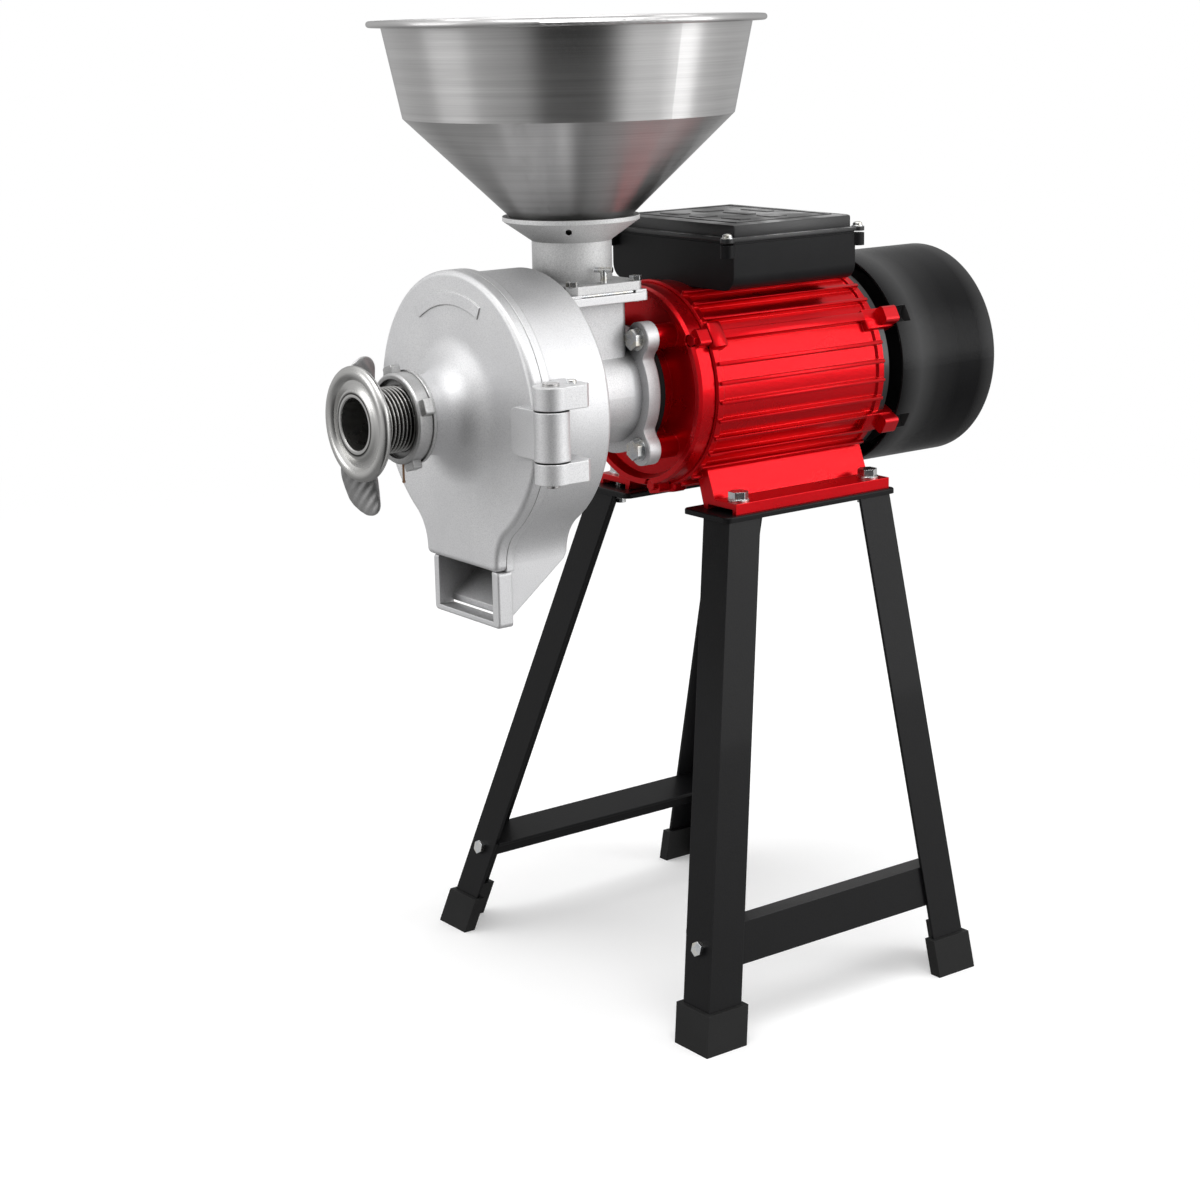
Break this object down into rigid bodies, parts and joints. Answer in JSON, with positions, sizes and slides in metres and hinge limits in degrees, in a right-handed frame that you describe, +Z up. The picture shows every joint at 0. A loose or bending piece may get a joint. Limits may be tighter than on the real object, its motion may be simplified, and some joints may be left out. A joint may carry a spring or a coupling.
{
  "type": "wet and dry grinder",
  "caption": "Disc mill with a spun hopper, hinged front door and discharge chute, driven by a finned motor on an angle-iron stand.",
  "frame": {"origin": "on the floor, under the middle of the machine", "axes": "+Z up, +X to the door's hinge, +Y from the handwheel to the fan cover"},
  "size_m": [0.339, 0.5228, 0.703],
  "materials": {
    "spun_steel": "circumferentially brushed stainless sheet",
    "cast_aluminium": "satin, shot-blasted casting",
    "turned_steel": "machined and polished",
    "zinc_plate": "bright zinc plate",
    "brown_wire": "dark wire",
    "chilled_iron": "dark cast iron",
    "red_enamel": "glossy red enamel",
    "black_enamel": "satin black enamel",
    "black_plastic": "moulded, fine grain",
    "black_rubber": "matt rubber",
    "core_iron": "stacked sheet and varnished wire",
    "can_aluminium": "drawn can"
  },
  "bodies": {
    "stand": {"top_plate_left": "black_enamel", "top_plate_right": "black_enamel", "leg_front_left": "black_enamel", "leg_front_right": "black_enamel", "leg_rear_left": "black_enamel", "leg_rear_right": "black_enamel", "brace_left": "black_enamel", "brace_right": "black_enamel", "brace_bolts": "zinc_plate", "foot_boots": "black_rubber", "motor_housing": "red_enamel", "front_end_shield": "red_enamel", "rear_end_shield": "black_enamel", "tie_bolts": "red_enamel", "stator_core": "core_iron", "front_bearing": "turned_steel", "rear_bearing": "turned_steel", "shaft_seal": "black_rubber", "fan_cover": "black_enamel", "fan_cover_screws": "zinc_plate", "capacitor_box": "black_plastic", "box_lid": "black_plastic", "box_gasket": "black_rubber", "run_capacitor": "can_aluminium", "start_capacitor": "can_aluminium", "box_screws": "zinc_plate", "grinding_housing": "cast_aluminium", "flange_bolts": "zinc_plate", "flange_washers": "zinc_plate", "hinge_pin": "turned_steel", "pin_lock_screw": "zinc_plate", "latch_pin": "turned_steel", "fixed_disc": "chilled_iron", "fixed_disc_screws": "zinc_plate", "hopper_base": "cast_aluminium", "hopper_base_bolts": "zinc_plate", "hopper": "spun_steel", "foot_bolts": "zinc_plate", "foot_nuts": "zinc_plate"},
    "spindle": {"motor_shaft": "turned_steel", "rotor_core": "core_iron", "shaft_key": "turned_steel", "fan": "black_plastic"},
    "feed_rotor": {"auger": "turned_steel", "turning_disc": "chilled_iron", "disc_screws": "zinc_plate", "wipers": "zinc_plate", "rotor_spring": "zinc_plate"},
    "door": {"front_door": "cast_aluminium"},
    "thrust": {"thrust_bearing": "turned_steel"},
    "handwheel": {"adjusting_screw": "turned_steel"},
    "ring_washer": {"lock_washer": "turned_steel"},
    "ring": {"lock_ring": "turned_steel", "split_pin": "brown_wire"},
    "latch": {"latch_bolt": "turned_steel"},
    "nut_washer": {"latch_washer": "zinc_plate"},
    "nut": {"wing_nut": "turned_steel"},
    "gate": {"feed_gate": "zinc_plate"},
    "gate_clamp": {"clamp_screw": "zinc_plate"}
  },
  "joints": [
    {"name": "shaft_spin", "type": "hinge", "parent": "stand", "child": "spindle", "pos_m": [0, 0, 0.443], "axis": [0, 1, 0], "continuous": true},
    {"name": "rotor_slide", "type": "slide", "parent": "spindle", "child": "feed_rotor", "axis": [0, 1, 0], "range_m": [-0.0081, 0.0021], "deforming": ["rotor_spring"]},
    {"name": "door_hinge", "type": "hinge", "parent": "stand", "child": "door", "pos_m": [0.1085, -0.17635, 0.443], "axis": [0, 0, 1], "range_deg": [0, 150]},
    {"name": "adjuster_travel", "type": "slide", "parent": "door", "child": "thrust", "axis": [0, 1, 0], "range_m": [-0.0081, 0.0021]},
    {"name": "handwheel_turn", "type": "hinge", "parent": "thrust", "child": "handwheel", "pos_m": [0, -0.18015, 0.443], "axis": [0, 1, 0], "range_deg": [-960, 240]},
    {"name": "lock_ring_travel", "type": "slide", "parent": "door", "child": "ring_washer", "axis": [0, 1, 0], "range_m": [-0.0041, 0]},
    {"name": "lock_ring_turn", "type": "hinge", "parent": "ring_washer", "child": "ring", "pos_m": [0, -0.18015, 0.443], "axis": [0, 1, 0], "range_deg": [-480, 0]},
    {"name": "latch_swing", "type": "hinge", "parent": "stand", "child": "latch", "pos_m": [-0.101, -0.14815, 0.409], "axis": [0, 0, 1], "range_deg": [-60, 27]},
    {"name": "latch_nut_travel", "type": "slide", "parent": "latch", "child": "nut_washer", "axis": [0.454, 0.891, 0], "range_m": [-0.0051, 0.0007]},
    {"name": "latch_nut_turn", "type": "hinge", "parent": "nut_washer", "child": "nut", "pos_m": [-0.101, -0.14815, 0.409], "axis": [0.454, 0.891, 0], "range_deg": [-1440, 180]},
    {"name": "gate_slide", "type": "slide", "parent": "stand", "child": "gate", "axis": [1, 0, 0], "range_m": [0, 0.046]},
    {"name": "clamp_turn", "type": "hinge", "parent": "stand", "child": "gate_clamp", "pos_m": [0.0366, -0.07815, 0.523], "axis": [0, 0, 1], "range_deg": [0, 360]}
  ],
  "couplings": [
    {"joint": "rotor_slide", "follows": "handwheel_turn", "m_per_rad": 0.00047746},
    {"joint": "adjuster_travel", "follows": "handwheel_turn", "m_per_rad": 0.00047746},
    {"joint": "lock_ring_travel", "follows": "lock_ring_turn", "m_per_rad": 0.00047746},
    {"joint": "latch_nut_travel", "follows": "latch_nut_turn", "m_per_rad": 0.00019894}
  ]
}
